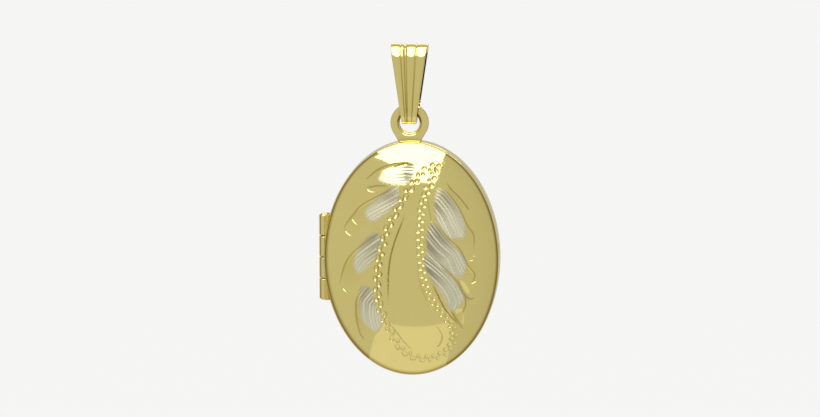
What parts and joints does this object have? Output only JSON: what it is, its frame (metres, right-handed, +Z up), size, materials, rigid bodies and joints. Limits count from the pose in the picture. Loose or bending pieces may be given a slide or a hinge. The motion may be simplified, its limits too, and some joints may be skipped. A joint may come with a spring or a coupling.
{
  "type": "locket",
  "caption": "Oval domed picture locket in yellow gold with an engraved hinged cover, a flat eye and a tapered fluted bail.",
  "frame": {"origin": "middle of the bail's loop, where the chain runs through", "axes": "+Z up as the locket hangs, -Y is the side the engraved cover faces, +X is away from the hinge"},
  "size_m": [0.0154, 0.0045, 0.0285],
  "materials": {
    "polished_gold": "polished yellow gold",
    "engraved_gold": "polished yellow gold, hand engraved and partly rhodium toned",
    "satin_gold": "satin yellow gold, unpolished inside",
    "picture_card": "plain uncoated card",
    "clear_window": "clear acetate sheet"
  },
  "bodies": {
    "bail": {"bail": "polished_gold"},
    "back_half": {"bail_lug": "polished_gold", "back_shell": "polished_gold", "back_collar": "satin_gold", "snap_ridge": "polished_gold", "back_seat_ring": "satin_gold", "back_picture_card": "picture_card", "back_window": "clear_window", "back_picture_frame": "polished_gold", "back_hinge_bearer": "polished_gold", "hinge_pin": "polished_gold", "back_knuckle_1": "polished_gold", "back_knuckle_3": "polished_gold"},
    "cover": {"front_shell": "engraved_gold", "front_seat_ring": "satin_gold", "front_picture_card": "picture_card", "front_window": "clear_window", "front_picture_frame": "polished_gold", "front_hinge_bearer": "polished_gold", "front_knuckle_2": "polished_gold", "front_knuckle_4": "polished_gold"}
  },
  "joints": [
    {"name": "bail_swing", "type": "hinge", "parent": "bail", "child": "back_half", "pos_m": [0, 0, -0.00443], "axis": [1, 0, 0], "range_deg": [-75, 75]},
    {"name": "cover_hinge", "type": "hinge", "parent": "back_half", "child": "cover", "pos_m": [-0.00732, -0.0003, -0.01734], "axis": [0, 0, -1], "range_deg": [0, 170]}
  ]
}
